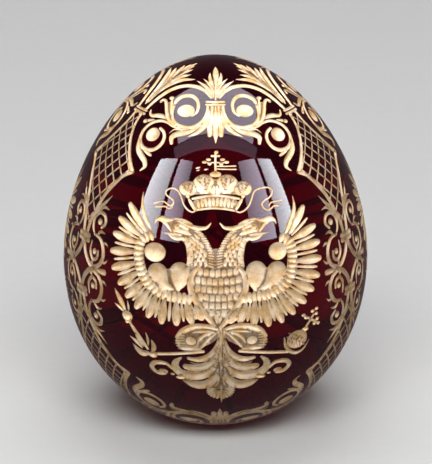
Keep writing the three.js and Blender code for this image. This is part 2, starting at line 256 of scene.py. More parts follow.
def column():
    return [
        cut(1.2, LEAF, (36.6, 17.2), (35.7, 20), (33.7, 22.2), (31.8, 24.6)),
        cut(0.9, LEAF, (35.4, 19.6), (33.5, 21), (31.4, 20.7)),
        cut(1.05, CURL, (34.8, 13.2), (36.1, 15), (36.2, 17.8), (34.5, 19.3), (32.3, 18.8), (31.7, 17),
            (32.8, 15.7)),
        ball(0.9, 0.9, (33.8, 17)),
        cut(1.15, CURL, (35.2, 13.5), (32.4, 12.8), (30.9, 10.6), (30.7, 8.5), (31.8, 6.4), (33.8, 5.5)),
        cut(0.9, CURL, (35.6, 11.6), (35.6, 8.7), (34.2, 7.2), (32.8, 8), (32.7, 9.6)),
        ball(0.8, 0.8, (34, 9.3)),
        cut(0.9, LEAF, (34, 13.4), (32.6, 14.7), (31, 14.4)),
        cut(0.7, LEAF, (31.6, 11.8), (30.2, 12.2), (29.4, 11.6)),
        cut(0.7, LEAF, (31.2, 7.4), (29.8, 7.4), (29, 8.2)),
        cut(0.9, WIRE, (34.6, 6.4), (34.6, 5)),
    ]


def crest_arch():
    arch = [(2.4, 69.8), (6.4, 74.4), (11.2, 77.2), (16, 78), (21, 77.5), (25.8, 75.2), (30.2, 71.2),
            (33.2, 65.8), (35.1, 60.2), (36, 56.6)]
    return [cut(3.2, (0.6, 0.8, 1, 1, 1, 0.95, 0.75, 0.5), *arch)]


# The leaves on the frame's axes: the middle of the crest, and the sides where two medallions meet

def crest_middle():
    bed = ground(6.4, (0.9, 1, 1, 1, 0.7), (0.1, 63.4), (0.1, 56), (0.1, 51))
    drop = cut(2.5, (0.4, 0.55, 0.8, 0.95, 1, 0.7, 0.1), (0.1, 63.6), (0.1, 55), (0.1, 46))
    lobe = cut(2.4, (0.6, 0.6, 0.75, 0.95, 1, 0.72), (1.5, 63.6), (1.7, 57), (2.3, 52.4), (2.2, 49.2))
    return [bed, drop] + both_sides([lobe])


def tie(axis, half_length, *levels):
    return [cut(1.3, WIRE, (axis - half_length, level), (axis + half_length, level)) for level in levels]


def crest_fleur():
    sides = [
        cut(2.7, LEAF, (1.4, 69.4), (4.4, 75.6), (9, 80.4), (15.4, 84)),
        cut(2.7, LEAF, (1, 70), (2.2, 77), (6, 83), (11, 87.6)),
        cut(3.6, LEAF, (1.2, 77), (3.4, 84), (5.4, 91), (6, 98)),
    ]
    petal = cut(6.6, (0.12, 0.2, 0.3, 0.6, 0.95, 1, 0.75, 0.06), (0.1, 68), (0.4, 90), (0, 112))
    return [petal] + both_sides(sides)


def palmette():
    lobes = [
        cut(4.4, (0.25, 0.4, 0.7, 1, 0.95, 0.65, 0.08), (38.3, 60), (37.2, 68), (34, 76), (28, 82),
            (17.4, 85.4)),
        cut(4.8, (0.2, 0.4, 0.8, 1, 0.9, 0.1), (38.6, 64), (37.4, 75), (33.6, 83.4), (25, 90.4)),
        cut(5.6, (0.2, 0.4, 0.8, 1, 0.95, 0.15), (38.8, 68), (38, 82), (34.6, 91.6), (29.2, 98.8)),
        cut(5.8, (0.2, 0.4, 0.8, 1, 0.9, 0.15), (39, 72), (38.6, 90), (36.4, 100), (34.2, 106.4)),
    ]
    middle = cut(6.4, (0.2, 0.25, 0.4, 0.8, 1, 0.85, 0.06), (SIDE_AXIS, 59), (SIDE_AXIS, 88),
                 (SIDE_AXIS, 116.5))
    return [middle] + both_sides(lobes, SIDE_AXIS)


LATTICE_ACROSS, LATTICE_UP = 4.2, 4.75
LATTICE_WIDTH = 0.54
LATTICE_FOOT = 16.6
LATTICE_BARS = range(-3, 9)
LATTICE_REACHES = np.linspace(-12, 12, 97)
FEWEST_REACHES = 5
LATTICE_EDGE = [(0.2, 11), (0.6, 13)] + LOZENGE_LOWER[-2:0:-1] + LOZENGE_UPPER[::-1] + [(0, 54)]


def lattice():
    half_widths, levels = zip(*LATTICE_EDGE)
    bars = []
    for number in LATTICE_BARS:
        foot = LATTICE_FOOT + number * LATTICE_UP
        inside = []
        for reach in LATTICE_REACHES:
            y = foot + reach * LATTICE_UP / LATTICE_ACROSS
            if abs(reach) < np.interp(y, levels, half_widths):
                inside.append((SIDE_AXIS + reach, y))
        if len(inside) > FEWEST_REACHES:
            bars.append(cut(LATTICE_WIDTH, WIRE, inside[0], inside[-1]))
    return both_sides(bars, SIDE_AXIS)


def frame_cuts():
    quarter = great_scroll() + lesser_scroll() + lozenge_quarter() + column() + crest_arch()
    middle = crest_middle() + tie(0, 4.8, 66.6, 64.8)
    side = lattice() + tie(SIDE_AXIS, 4.2, 55.8, 54.1) + tie(SIDE_AXIS, 2.1, 12.4, 11.2)
    upper = both_sides(quarter) + middle + side + mirrored(side)
    crown_leaves = crest_fleur() + palmette() + mirrored(palmette())
    knots = both_sides([cut(1.5, TEAR, (34, 5), (29.8, 5))])
    return upper + below(upper) + crown_leaves + knots


# The two-headed eagle of a medallion. The wings, cut freehand, are not quite each other's mirror

Wing = namedtuple("Wing", "roots tips ring shoulder lobes")
RIGHT_WING = Wing(
    roots=[(19.9, 17.4), (20.5, 15.6), (20.9, 13), (20.9, 9.9), (20.4, 7.3), (19.3, 5), (17.5, 3.4),
           (15.7, 2.4), (13.6, 1.7), (11.6, 1.4), (9.4, 1.3), (7.2, 0.9), (5.2, -0.2)],
    tips=[(25.6, 23.4), (28, 17.6), (28.4, 13.3), (28.2, 9.2), (27.2, 5), (25.2, 1.9), (22.8, -0.8),
          (19.7, -3.1), (16.6, -4.7), (13.1, -5.2), (9.3, -4.6), (5.8, -3.5), (3.4, -3.4)],
    ring=[(17.4, 16.4), (19.3, 15), (19.7, 12.6), (19.5, 10), (18.9, 7.2), (17.2, 4.9), (15, 3.6),
          (12.5, 2.9), (10, 2.7), (7, 2.4)],
    shoulder=((15.8, 13.2), 2.5, 2.25),
    lobes=[[(9.6, 4.2), (9.7, 6.4), (9.9, 8.8)], [(10.6, 4.3), (13.6, 5.5), (15.1, 8.2)]],
)
LEFT_WING = Wing(
    roots=[(-18.4, 18), (-20, 16.6), (-20.7, 14.6), (-21, 12.2), (-20.5, 9.4), (-19.6, 7.2), (-18, 5),
           (-16.4, 3.3), (-14.4, 2.2), (-12.3, 1.5), (-9.3, 1.4), (-6.9, 1.2), (-4.6, 0.6)],
    tips=[(-25.1, 24.2), (-27.4, 19.8), (-28.2, 15.5), (-28.2, 11), (-27.2, 6.9), (-24.9, 3.5),
          (-22.6, 0.7), (-19.9, -1.6), (-16.7, -3.4), (-13.2, -4.5), (-9.4, -4.5), (-5.6, -3.8),
          (-3.2, -2.6)],
    ring=[(-16.8, 17), (-19, 15.8), (-19.7, 13.6), (-19.5, 11), (-18.8, 8.6), (-17.2, 6), (-15, 4.1),
          (-12.6, 3), (-10, 2.6), (-6.2, 2.3)],
    shoulder=((-15.3, 13), 2.9, 2.4),
    lobes=[[(-9, 4.3), (-8.8, 6.4), (-8.6, 8.6)], [(-10.2, 4.4), (-12.9, 5.5), (-14.2, 7.9)]],
)
FEATHER_WIDTH, FEATHER_END = 2.3, 0.94
UNDER_FEATHER_WIDTH, UNDER_FEATHER_END = 0.85, 0.84
COVERTS = 21
COVERT_WIDTH, COVERT_REACH, COVERT_DEPTH = 1.5, 1, 1.3


def feathers(wing):
    ends = list(zip(wing.roots, wing.tips))
    cuts = []
    for root, tip in ends:
        quill = [root, between(root, tip, 0.5), between(root, tip, FEATHER_END)]
        cuts.append(cut(FEATHER_WIDTH, QUILL, *quill))
    for (root, tip), (next_root, next_tip) in zip(ends, ends[1:]):
        start = between(root, next_root, 0.5)
        end = between(start, between(tip, next_tip, 0.5), UNDER_FEATHER_END)
        cuts.append(cut(UNDER_FEATHER_WIDTH, FEATHER, start, end))
    return cuts


def wing_cuts(wing):
    ring = drawn_line(wing.ring, FINE_STATION)
    outward = sideways(ring)
    outward *= np.sign((outward * (ring - np.mean(wing.ring, axis=0))).sum(1))[:, None]
    centre, half_width, half_height = wing.shoulder
    hollow = [between(*ends, 0.5) for ends in zip(*wing.lobes)]
    cuts = feathers(wing)
    cuts += [ground(3, BAND, *wing.ring), ground(3.6, BAND, *hollow)]
    cuts.append(ball(half_width, half_height, centre))
    cuts += [cut(5.2, TEAR, *lobe, deep=0.75) for lobe in wing.lobes]
    for number in range(COVERTS):
        share = number / (COVERTS - 1)
        reach = COVERT_REACH * spot_at(outward, share)
        middle = spot_at(ring, share)
        cuts.append(cut(COVERT_WIDTH, BAND, middle - reach, middle + reach, deep=COVERT_DEPTH))
    return cuts


def wings():
    sickles = [
        cut(1.5, LEAF, (18.2, 16.9), (19.8, 19.2), (21.4, 21.4), (22.5, 23.8), (22.7, 26.6)),
        cut(1.2, LEAF, (-16.8, 18.2), (-18.6, 20.4), (-20.2, 23), (-21, 25.4), (-21.4, 28)),
    ]
    return wing_cuts(RIGHT_WING) + wing_cuts(LEFT_WING) + sickles


NECK_FRONT = [(0.2, 9.8), (0.25, 12), (0.5, 13.6), (1.1, 15.2), (2.1, 17), (3.3, 18.6), (4.6, 19.5)]
NECK_BACK = [(7, 10.2), (6.8, 11.5), (6.7, 12.8), (6.9, 14), (7.2, 15.2), (7.7, 16.1), (8.4, 16.7)]
NECK_STROKES = 16
NECK_LOCKS = 5
LOCK_STEPS = 9


def neck_and_head():
    front = drawn_line(NECK_FRONT, FINE_STATION)
    back = drawn_line(NECK_BACK, FINE_STATION)
    cuts = []
    for number in range(NECK_STROKES):
        share = (number + 0.5) / NECK_STROKES
        inner, outer = spot_at(front, share), spot_at(back, share)
        cuts.append(cut(0.66, BAND, inner, between(inner, outer, 0.26) + np.array([0, 0.45])))
        cuts.append(cut(0.62, BAND, outer, between(outer, inner, 0.25) + np.array([0, 0.55])))
    for lane in range(NECK_LOCKS):
        share = 0.32 + 0.38 * lane / (NECK_LOCKS - 1)
        lock = [between(spot_at(front, up), spot_at(back, up), share)
                for up in np.linspace(0.02, 0.97, LOCK_STEPS)]
        for begin in range(lane % 2, LOCK_STEPS - 2, 2):
            cuts.append(cut(1.05, LEAF, *lock[begin:begin + 3]))
    cuts += [
        ground(6.9, (0.98, 0.98, 0.88, 0.76, 0.56, 0.4), (3.6, 9.4), (3.6, 12), (4.2, 14.4), (5.2, 16.6),
               (7, 18.4), (9, 19.2)),
        ground(4, (0.6, 1, 0.9, 0.6, 0.3), (6.4, 19), (9, 19.8), (12, 20.7), (14.4, 21.5)),
        cut(1.7, LEAF, (6.2, 18.2), (8.4, 19), (11.4, 19)),
        cut(1.3, LEAF, (6.6, 19.3), (9, 20.4), (11.4, 20.6)),
        ball(0.8, 0.7, (10, 19.9), deep=1.5),
        cut(1.2, LEAF, (1.2, 21.3), (2.2, 20.2), (3.8, 19.9), (5.6, 20.1), (7.6, 20.6), (9.2, 21.3),
            (11.2, 21.6)),
        cut(0.9, LEAF, (6, 20.9), (8, 21.6), (10, 22), (11.6, 22.1)),
        cut(1.4, LEAF, (11.2, 21.6), (13, 21.5), (14.8, 21.8), (15.9, 21.1), (16.2, 20)),
        cut(0.9, LEAF, (11.3, 18.4), (12.2, 19.6), (13.2, 20.6), (14.4, 21.1), (15.6, 20.9)),
        cut(0.7, LEAF, (8, 18), (11, 18), (14, 18.1)),
        cut(1.2, LEAF, (7.6, 17.4), (9.6, 17), (11.4, 17.4), (12.2, 17.8)),
    ]
    return cuts


BREAST_AXIS = 0.65
SCALE_ROWS = ((9.2, 5, 7), (7.1, 5.5, 8), (5, 5.5, 8), (3, 4.9, 7), (1, 3.7, 5), (-0.9, 2.2, 3))


def breast():
    edge = [(5.4, 10.2), (6.7, 8.7), (7.3, 6.4), (7.1, 4.4), (6.2, 2.4), (5, 0.4), (3.6, -1.5),
            (2.3, -3.3), (1.1, -5)]
    tip = [cut(0.9, LEAF, (1.3, -0.6), (1.2, -2.4), (0.8, -4.4))]
    cuts = both_sides([cut(1.6, BAND, *edge)] + tip, BREAST_AXIS)
    cuts.append(ground(12.6, (0.84, 1, 0.98, 0.75, 0.45, 0.1), (0.65, 9.6), (0.65, 4), (0.85, -4.8)))
    for level, half, count in SCALE_ROWS:
        for number in range(count):
            share = 2 * (number + 0.5) / count - 1
            x = BREAST_AXIS + half * share
            sag = 0.5 * (1 - share ** 2)
            cuts.append(cut(2.06 * half / count, WIRE, (x, level + 0.45 - sag), (x, level - 0.35 - sag)))
    return cuts


# The crown over both heads, with its ribbons

CROWN_TEETH = 10
DOME_FANS = (
    ((2.7, 30.4), ((1.7, 33.9), (3.4, 34.5), (5.6, 33.5))),
    ((7.3, 29.4), ((6.8, 32), (8.4, 32.2), (9.8, 31.2))),
)


def crown():
    cuts = [
        ground(3.4, WIRE, (-4.6, 26.2), (0, 27), (4.6, 26.2)),
        ground(4.4, (0.7, 1, 1, 1, 0.7), (-8, 30.4), (-3.4, 31.4), (0, 31.6), (3.4, 31.4), (8, 30.4)),
        cut(0.6, WIRE, (-5, 24.8), (-2.6, 25.2), (0, 25.3), (2.6, 25.1), (5.4, 24.5)),
        cut(0.75, WIRE, (-6.4, 27.8), (-3, 28.6), (0, 28.9), (3, 28.6), (6.6, 27.8)),
        ball(1.8, 0.95, (0, 35.2)),
        cut(0.75, WIRE, (0, 36), (0, 42)),
        cut(0.45, WIRE, (-3.6, 39), (3.6, 39)),
        cut(0.45, WIRE, (0.6, 37.8), (6.5, 37.7)),
        cut(0.45, WIRE, (0.6, 36.9), (6.5, 36.6)),
        cut(0.75, LEAF, (-6.3, 36.9), (-4.8, 37.4)),
        cut(0.5, LEAF, (-6, 36.2), (-4.9, 36.5)),
        cut(0.6, LEAF, (-3.6, 36.6), (-2.3, 36.8)),
        ball(0.75, 0.7, (0.3, 42.6)),
    ]
    for number in range(CROWN_TEETH):
        share = 2 * number / (CROWN_TEETH - 1) - 1
        top = (4.9 * share, 28.1 - 0.7 * share ** 2)
        foot = (4.5 * share, 26.1 - 0.6 * share ** 2)
        cuts.append(cut(1.06, FEATHER, top, foot, deep=1.3))
    half = [
        cut(0.95, BAND, (5.4, 24.6), (6.5, 26.2), (7.6, 27.9)),
        ball(0.65, 0.45, (1, 41.3)),
        ball(0.85, 0.5, (3.6, 39.1)),
        ball(0.85, 0.5, (2.3, 40)),
        ball(0.7, 0.6, (1.9, 38.6)),
        ball(3.3, 2.9, (3.4, 32.2)),
        ball(2.7, 2.2, (7.9, 30.6)),
        cut(1.5, TEAR, (0.9, 33.6), (0.7, 31), (0.8, 29.9)),
        cut(1.3, LEAF, (8.4, 29.6), (7.9, 28.6), (7.4, 27.6)),
    ]
    for foot, tips in DOME_FANS:
        half += [scored(0.36, foot, tip) for tip in tips]
        half += [scored(0.3, first, last) for first, last in zip(tips, tips[1:])]
    right = [(5.5, 24.4), (6.5, 24), (7.8, 24.4), (9, 25.4), (10, 27), (10.6, 28.4), (11.4, 29.6),
             (12.6, 30.1), (14.4, 30.3), (16, 30), (16.7, 29.2), (16.4, 28.2), (15.4, 27.3), (13.8, 26.6),
             (13, 25.8), (13.3, 24.6), (14.4, 23.9), (15.4, 24.2), (16.2, 24.8), (17.8, 24.7)]
    left = [(-5.2, 24.6), (-6.2, 24.1), (-7.6, 24.7), (-8.9, 26.2), (-9.5, 27.6), (-10.3, 29),
            (-11.2, 29.9), (-12.6, 30.3), (-13.8, 29.9), (-14.5, 29), (-14, 28.1), (-12.8, 27.5),
            (-11.8, 26.7), (-11.8, 25.7), (-12.6, 25.3), (-13.6, 25.8), (-14.6, 26.3), (-16, 26),
            (-17.4, 25.4)]
    ribbons = [
        cut(0.46, WIRE, *right),
        cut(0.46, WIRE, *left),
        cut(0.42, WIRE, (14.8, 25), (15.6, 25.8), (17, 26), (19, 26)),
        cut(0.42, WIRE, (-11.9, 25), (-12.8, 24.5), (-14, 25), (-15.2, 24.7), (-16.8, 24.6)),
    ]
    return cuts + both_sides(half) + ribbons


# Legs, bows and the leafy tail, whose axis stands a little right of the medallion's

TAIL_AXIS = 1.5
BOW_LINES = 7
BOW_TOP, BOW_PITCH = -6.6, 0.72
FAN_RIBS = 7


def tail():
    half = [
        ground(5.4, (0.3, 0.8, 1, 1, 0.9), (2.6, -6), (5.4, -7), (8.6, -8), (10.2, -8.6)),
        cut(1.5, BAND, (2, -5.4), (5, -4.6), (8.6, -4.8), (11.2, -6.2), (12.4, -7.8)),
        cut(0.9, BAND, (2.6, -6.1), (4, -7.4), (5.6, -9.2), (7, -11)),
        cut(1.2, LEAF, (2.8, -6), (5.4, -6.8), (7, -8.4), (7.4, -10.2)),
        cut(1, LEAF, (3, -5.9), (6.4, -5.9), (9.4, -6.6)),
        cut(1.3, BAND, (6.8, -10.9), (9.2, -10.8), (11.8, -10.9)),
        ball(1.5, 1.3, (9, -8.7), deep=0.5),
        cut(0.9, WIRE, (6, -11.5), (12, -12.5), (19, -13.6)),
        cut(1.8, (0.3, 0.6, 0.9, 1, 0.9, 0.5), (2, -7.4), (2.6, -9.8), (3.9, -12.2), (5.7, -13.6),
            (7.7, -14.1), (9.8, -13.8)),
        cut(2.9, (0.2, 0.5, 0.9, 1, 0.95, 0.6), (2.3, -11), (3.4, -14), (5.6, -16.3), (8, -17),
            (10.6, -16.6)),
        cut(0.7, LEAF, (2.2, -13), (4, -16.4), (7, -18), (9.8, -17.6)),
        cut(2.9, (0.2, 0.5, 0.85, 1, 1, 1, 0.85, 0.6, 0.2), (2.4, -14.6), (4.4, -17.8), (7, -19.5),
            (10, -19.7), (12.4, -18.8), (13.5, -17), (13.1, -15.2), (11.7, -13.8)),
        ball(1.3, 0.65, (12.4, -20.7)),
        ball(0.6, 0.4, (14.5, -19.7)),
        cut(1.4, CURL, (14.4, -17.8), (15.6, -16.4), (17.6, -16.1), (19.4, -16.7), (20.2, -18),
            (19.6, -19.3), (18.2, -20), (16.8, -19.8)),
        ball(1.3, 0.85, (17, -19.1)),
        cut(3, (0.2, 0.5, 0.9, 1, 0.9, 0.2), (2.3, -17.2), (3.4, -20.2), (5.2, -22.6), (7.4, -23.4),
            (9.6, -22.8), (11.6, -21.8)),
        cut(0.9, LEAF, (2, -18.4), (3, -22), (4.6, -23.9), (6.8, -24.6)),
        cut(0.7, LEAF, (1.8, -19), (2.5, -23), (3.8, -25)),
        cut(0.75, SPIKE, (2.1, -5.4), (2, -14), (2.1, -22)),
        scored(0.42, (2.3, -10), (3.2, -12.6), (5, -14.8), (7.4, -15.4), (9.2, -15.1)),
        scored(0.42, (2.4, -13.4), (3.7, -16.4), (5.9, -18.3), (8.4, -18.6), (10.2, -18)),
        scored(0.42, (2.4, -16.6), (3.7, -19.4), (6, -21.4), (8.6, -21.6), (10.8, -21.2)),
    ]
    for number in range(BOW_LINES):
        level = BOW_TOP - BOW_PITCH * number
        reach = 12.8 - 0.2 * abs(number - 3.5) ** 1.5
        half.append(cut(BOW_PITCH, BAND, (10.5, level), (reach, level - 0.1)))
    for number in range(FAN_RIBS):
        share = number / (FAN_RIBS - 1)
        swing = math.radians(12 + 88 * (1 - share))
        reach = 3.5 + 0.5 * share
        half.append(cut(1.15, FEATHER, (1.6 + 0.3 * math.sin(swing), -25.2),
                        (1.7 + reach * math.sin(swing), -25.4 - reach * math.cos(swing))))
    spine = [
        ground(7.4, (0.15, 0.2, 0.35, 0.8, 1, 0.95, 0.85, 0.7, 0.3), (1.5, -6), (1.5, -17), (1.6, -28)),
        cut(0.8, SPIKE, (1.4, -5.6), (1.4, -16), (1.6, -26)),
        cut(1.2, LEAF, (1.6, -23), (1.8, -27), (1.9, -31.8)),
    ]
    return both_sides(half, TAIL_AXIS) + spine


# A sceptre in the left claw and an orb in the right

def regalia():
    sceptre = [
        cut(1.6, LEAF, (-22.9, -2.8), (-24.2, -0.6), (-26, 2)),
        cut(0.9, LEAF, (-23.2, -3.3), (-24.6, -2.4), (-26.2, -1.7)),
        cut(0.7, LEAF, (-21.9, -2.8), (-22, -1.4), (-22.2, -0.2)),
        ball(1.5, 1.35, (-22.4, -4.2)),
        cut(0.9, WIRE, (-22.7, -5.8), (-21.7, -5.4)),
        cut(1.15, BAND, (-21.7, -6), (-19.6, -9), (-17.4, -12.4)),
        cut(1.1, LEAF, (-19, -12.4), (-20.4, -10.9), (-22.2, -9.6)),
        cut(1, LEAF, (-18.6, -12), (-19.8, -10), (-20.6, -8)),
        cut(2, LEAF, (-17, -13.6), (-19.4, -14), (-21.6, -11.8)),
        cut(1.4, LEAF, (-16.3, -13.2), (-15.6, -11.6), (-16.1, -9.5)),
        cut(0.8, LEAF, (-17.2, -11.4), (-17.1, -9.6), (-17.5, -7.7)),
        ball(1.2, 0.9, (-16.2, -14)),
    ]
    orb = [
        ball(3, 2.6, (21.2, -10.4)),
        scored(0.4, (18.6, -8.2), (24, -11.4)),
        scored(0.4, (18.2, -9.2), (23.6, -12.4)),
        scored(0.4, (18.4, -10.4), (22.4, -12.8)),
        cut(1.1, LEAF, (17.4, -9.2), (18, -11.6), (19.6, -13.6), (21.4, -14.5), (23.4, -14),
            (24.6, -12.2), (25, -11.2)),
        ball(1, 0.6, (23.3, -8)),
        cut(0.7, WIRE, (23.5, -7.3), (25.4, -4.7)),
        cut(0.7, WIRE, (22.5, -4.2), (27.2, -7.2)),
    ]
    ends = [(22.4, -4.1), (23.2, -4.9), (26.8, -6), (27.3, -7.3), (26, -7.1), (26.3, -3.2), (25.1, -3.6),
            (26.3, -4.5)]
    return sceptre + orb + [ball(0.6, 0.45, end) for end in ends]


def eagle_cuts():
    return upright(wings() + both_sides(neck_and_head()) + breast() + crown() + tail() + regalia())


# Where the cuts lie on the sheet, on a fine grid: which one is deepest, how deep, and how far inside it

Survey = namedtuple("Survey", "x y inside depth second label runner scratch")


def cut_field(one, x, y):
    if len(one.line) == 1:
        half = one.half[0]
        away = np.hypot(x - one.line[0, 0], (y - one.line[0, 1]) / one.tall)
        return half - away, one.deep * min(STEEPNESS * half, DEEPEST) * (1 - (away / half) ** 2)
    inside, depth = (np.full(np.broadcast(x, y).shape, OUTSIDE) for _ in range(2))
    for start, end, wide, narrow in zip(one.line[:-1], one.line[1:], one.half[:-1], one.half[1:]):
        run = end - start
        share = np.clip(((x - start[0]) * run[0] + (y - start[1]) * run[1]) / (run @ run), 0, 1)
        away = np.hypot(x - start[0] - share * run[0], y - start[1] - share * run[1])
        half = wide + share * (narrow - wide)
        np.maximum(inside, half - away, out=inside)
        deepest = one.deep * np.minimum(STEEPNESS * half, DEEPEST)
        np.maximum(depth, deepest * (1 - (away / half) ** 2), out=depth)
    return inside, depth


def survey_sheet(cuts, bottom):
    x = np.linspace(-SIDE_AXIS, SIDE_AXIS, round(THIRD / GRID) + 1)
    y = np.linspace(bottom, SHEET_TOP, round((SHEET_TOP - bottom) / GRID) + 1)
    shape = (len(y), len(x))
    inside, depth, second, scratch = (np.full(shape, OUTSIDE) for _ in range(4))
    label, runner = (np.full(shape, -1) for _ in range(2))
    for number, one in enumerate(cuts):
        reach = one.half.max() * max(1, one.tall) + MARGIN
        left, right = np.searchsorted(x, (one.line[:, 0].min() - reach, one.line[:, 0].max() + reach))
        low, high = np.searchsorted(y, (one.line[:, 1].min() - reach, one.line[:, 1].max() + reach))
        if left == right or low == high:
            continue
        box = np.s_[low:high, left:right]
        near, deep = cut_field(one, x[None, left:right], y[low:high, None])
        if one.over:
            deep = np.where(near > 0, np.maximum(depth[box], 0) + deep, OUTSIDE)
            scratch[box] = np.maximum(scratch[box], near)
        inside[box] = np.maximum(inside[box], near)
        first = deep > depth[box]
        next_best = ~first & (deep > second[box])
        second[box] = np.where(first, depth[box], np.where(next_best, deep, second[box]))
        runner[box] = np.where(first, label[box], np.where(next_best, number, runner[box]))
        depth[box] = np.where(first, deep, depth[box])
        label[box] = np.where(first, number, label[box])
    label[inside <= 0] = -1
    return Survey(x, y, inside, depth, second, label, runner, scratch)


def grid_place(survey, places):
    axes = (survey.y, survey.x)
    return [(places[:, 1 - k] - axis[0]) / (axis[1] - axis[0]) for k, axis in enumerate(axes)]


def sampled(survey, values, places):
    spots = zip(grid_place(survey, places), values.shape)
    row, column = (np.clip(spot, 0, count - 1.001) for spot, count in spots)
    i, j = row.astype(int), column.astype(int)
    up, across = row - i, column - j
    low = values[i, j] * (1 - across) + values[i, j + 1] * across
    high = values[i + 1, j] * (1 - across) + values[i + 1, j + 1] * across
    return low * (1 - up) + high * up


def nearest(survey, values, places):
    row, column = (np.rint(spot).astype(int) for spot in grid_place(survey, places))
    return values[row, column]


# The lines where one cut meets the next or the uncut glass, found between the grid's points

def crossing_share(survey, here, there):
    label, depth, second, runner = survey.label, survey.depth, survey.second, survey.runner
    own = depth[here] - np.where(runner[here] == label[there], second[here], 0)
    other = depth[there] - np.where(runner[there] == label[here], second[there], 0)
    ridge = own / np.maximum(own + other, 1e-6)
    rim = survey.inside[here] / np.where(survey.inside[here] == survey.inside[there], 1,
                                         survey.inside[here] - survey.inside[there])
    at_rim = (label[here] < 0) | (label[there] < 0)
    return np.clip(np.where(at_rim, rim, ridge), 0.02, 0.98)


def meeting_lines(survey):
    x, y, label = survey.x, survey.y, survey.label
    places = np.empty((0, 2))
    edges = []
    for up, across in ((0, 1), (1, 0)):
        here = label[:len(y) - up, :len(x) - across]
        i, j = np.nonzero(here != label[up:, across:])
        share = crossing_share(survey, (i, j), (i + up, j + across))
        crossings = [x[j] + share * (x[j + across] - x[j]), y[i] + share * (y[i + up] - y[i])]
        edge = np.full(here.shape, -1)
        edge[i, j] = len(places) + np.arange(len(i))
        edges.append(edge)
        places = np.concatenate([places, np.column_stack(crossings)])
    level, upright_edge = edges
    sides = np.stack([level[:-1], upright_edge[:, 1:], level[1:], upright_edge[:, :-1]], -1).reshape(-1, 4)
    met = (sides >= 0).sum(1)
    pairs = np.sort(sides[met == 2], 1)[:, 2:]
    busy = sides[met > 2]
    middles = np.array([places[side[side >= 0]].mean(0) for side in busy]).reshape(-1, 2)
    spokes = [(side, len(places) + number) for number, four in enumerate(busy) for side in four if side >= 0]
    return np.concatenate([places, middles]), np.concatenate([pairs, np.array(spokes).reshape(-1, 2)])


# The pieces of those lines joined into chains, which end where more than two meet
def linked(segments, count):
    neighbours = [[] for _ in range(count)]
    for start, end in segments.tolist():
        neighbours[start].append(end)
        neighbours[end].append(start)
    walked = set()
    chains = []

    def walk(start, step):
        chain = [start, step]
        walked.update(((start, step), (step, start)))
        while len(neighbours[chain[-1]]) == 2:
            a, b = neighbours[chain[-1]]
            ahead = b if a == chain[-2] else a
            if (chain[-1], ahead) in walked:
                break
            walked.update(((chain[-1], ahead), (ahead, chain[-1])))
            chain.append(ahead)
        chains.append(chain)

    for only_ends in (True, False):
        for start in range(count):
            if only_ends == (len(neighbours[start]) == 2):
                continue
            for step in neighbours[start]:
                if (start, step) not in walked:
                    walk(start, step)
    return chains


# A chain without the points that lie within a hair of its chords
def thinned(chain, places):
    line = places[chain]
    coarser = float(fineness(line[:, 1].mean()))
    keep = {0, len(chain) - 1}
    waiting = [(0, len(chain) - 1)]
    while waiting:
        start, end = waiting.pop()
        if end - start < 2:
            continue
        away = line[start + 1:end] - line[start]
        span = line[end] - line[start]
        length = math.hypot(*span)
        if length < 1e-6:
            off = np.hypot(*away.T)
        else:
            off = np.abs(away[:, 0] * span[1] - away[:, 1] * span[0]) / length
        worst = int(off.argmax())
        if off[worst] < HAIR * coarser:
            if length < LONGEST_CHORD * coarser:
                continue
            worst = (end - start) // 2 - 1
        middle = start + 1 + worst
        keep.add(middle)
        waiting += [(start, middle), (middle, end)]
    return [chain[k] for k in sorted(keep)]


# Points inside the cuts, in rows along the wheel's path, and an open net over the uncut glass

BALL_RINGS = ((0, 1), (0.3, 6), (0.56, 11), (0.8, 16))
THIN_ROWS, PLAIN_ROWS, BROAD_ROWS = (0,), (-0.5, 0, 0.5), (-0.72, -0.36, 0, 0.36, 0.72)
THIN_HALF, BROAD_HALF = 0.42, 1.4
ROW_SPACING, CLOSEST_ROW_SPACING = 0.85, 0.5
BROAD_ENOUGH = 0.16


def points_in_ball(one):
    turns = [(share, 2 * math.pi * k / count) for share, count in BALL_RINGS for k in range(count)]
    spots = [(share * math.cos(turn), share * one.tall * math.sin(turn)) for share, turn in turns]
    return one.line[0] + one.half[0] * np.array(spots)


def points_along(one):
    steps = np.hypot(*np.diff(one.line, axis=0).T)
    run = np.concatenate([[0], np.cumsum(steps)])
    coarser = float(fineness(one.line[:, 1].mean())) ** 0.7
    widest = one.half.max()
    spacing = np.clip(ROW_SPACING * widest, CLOSEST_ROW_SPACING * coarser, ROW_SPACING * coarser)
    at = np.linspace(0, run[-1], max(2, round(run[-1] / spacing) + 1))
    line = np.column_stack([np.interp(at, run, one.line[:, 0]), np.interp(at, run, one.line[:, 1])])
    half = np.interp(at, run, one.half)
    across = sideways(line)
    rows = THIN_ROWS if widest < THIN_HALF * coarser else PLAIN_ROWS
    if widest > BROAD_HALF * coarser:
        rows = BROAD_ROWS
    broad = half > BROAD_ENOUGH
    return np.concatenate([(line + share * half[:, None] * across)[broad] for share in rows])


def points_in_cuts(cuts, survey):
    groups = [points_in_ball(one) if len(one.line) == 1 else points_along(one) for one in cuts]
    owners = np.repeat(np.arange(len(cuts)), [len(group) for group in groups])
    wanted = np.concatenate(groups)
    across, up = wanted.T
    on_sheet = (np.abs(across) < SIDE_AXIS - SEAM_CLEARANCE) & (up > survey.y[0]) & (up < SHEET_TOP)
    wanted, owners = wanted[on_sheet], owners[on_sheet]
    own = nearest(survey, survey.label, wanted) == owners
    lead = nearest(survey, survey.depth - np.maximum(survey.second, 0), wanted)
    clear = nearest(survey, survey.inside, wanted) > RIM_CLEARANCE
    return wanted[own & clear & (lead > LEAST_LEAD)]


